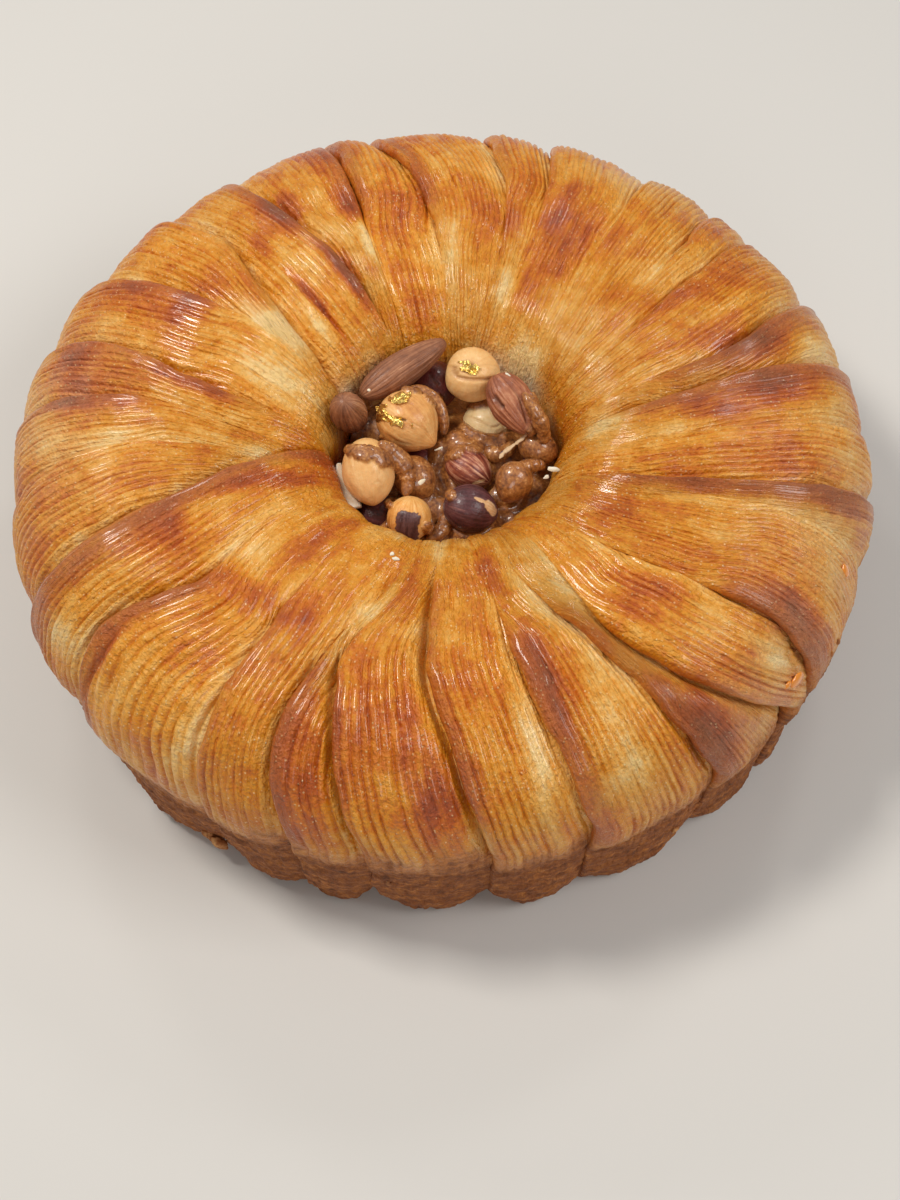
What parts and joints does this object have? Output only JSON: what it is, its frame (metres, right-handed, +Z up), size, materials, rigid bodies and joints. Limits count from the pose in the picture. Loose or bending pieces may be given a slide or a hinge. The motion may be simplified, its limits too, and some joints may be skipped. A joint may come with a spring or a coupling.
{
  "type": "galette des rois",
  "caption": "Ring-shaped brioche galette des rois of fine-ridged, glazed folds leaning round a deep centre filled with praline, whole hazelnuts and almonds.",
  "frame": {"origin": "centre of the ring on the plane it rests on", "axes": "+Z up through the hole, -Y towards the side the loaf is seen from, +X to its right"},
  "size_m": [0.2205, 0.2198, 0.0713],
  "materials": {
    "crust": "golden-brown glazed brioche crust",
    "praline": "wet brown hazelnut praline",
    "peeled_nut": "roasted peeled hazelnut, satin",
    "brown_skin": "roasted brown almond skin",
    "dark_skin": "dark red-purple hazelnut skin, satin",
    "almond_white": "peeled white almond"
  },
  "bodies": {
    "root": {"loaf": "crust", "praline": "praline", "almond_long": "brown_skin", "almond_left": "brown_skin", "hazelnut_gold": "peeled_nut", "hazelnut_top": "peeled_nut", "hazelnut_red": "dark_skin", "hazelnut_pale": "peeled_nut", "almond_red": "brown_skin", "coated_nut_right": "praline", "hazelnut_dark_right": "dark_skin", "coated_nut_front": "praline", "hazelnut_brown_front": "praline", "hazelnut_dark_front": "dark_skin", "hazelnut_striped": "brown_skin", "hazelnut_big": "peeled_nut", "coated_nut_left": "praline", "hazelnut_patched": "peeled_nut", "hazelnut_dark_left": "dark_skin", "hazelnut_small_red": "dark_skin", "almond_flake": "almond_white"}
  },
  "joints": []
}
